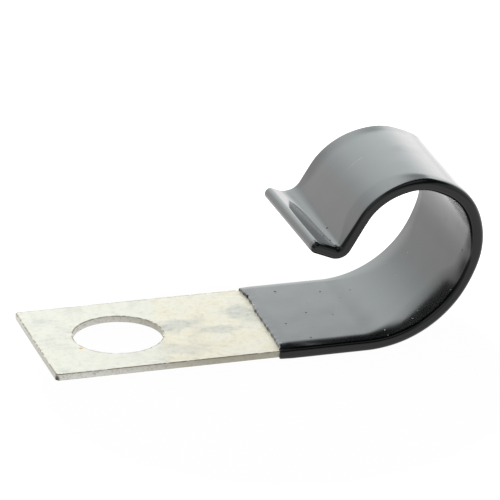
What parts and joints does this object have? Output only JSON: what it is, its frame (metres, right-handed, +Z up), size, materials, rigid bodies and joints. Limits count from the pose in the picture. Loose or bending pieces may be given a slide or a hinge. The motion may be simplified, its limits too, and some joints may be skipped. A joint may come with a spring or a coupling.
{
  "type": "j-clamp",
  "caption": "Flat steel strap with a bolt hole, curled at one end into a vinyl-dipped hook with a turned-out lip, for holding a cable or hose against a surface.",
  "frame": {"origin": "centre of the bolt hole on the strap's underside", "axes": "+X along the strap from the bolt hole to the hook, +Y across the strap, +Z up, away from the surface that the strap is bolted to"},
  "size_m": [0.0528, 0.0196, 0.0213],
  "materials": {
    "zinc_steel": "dull zinc plating with faint smudges and scratches",
    "black_vinyl": "glossy dipped vinyl with small pits"
  },
  "bodies": {
    "root": {"steel_strap": "zinc_steel", "vinyl_coat": "black_vinyl"}
  },
  "joints": []
}
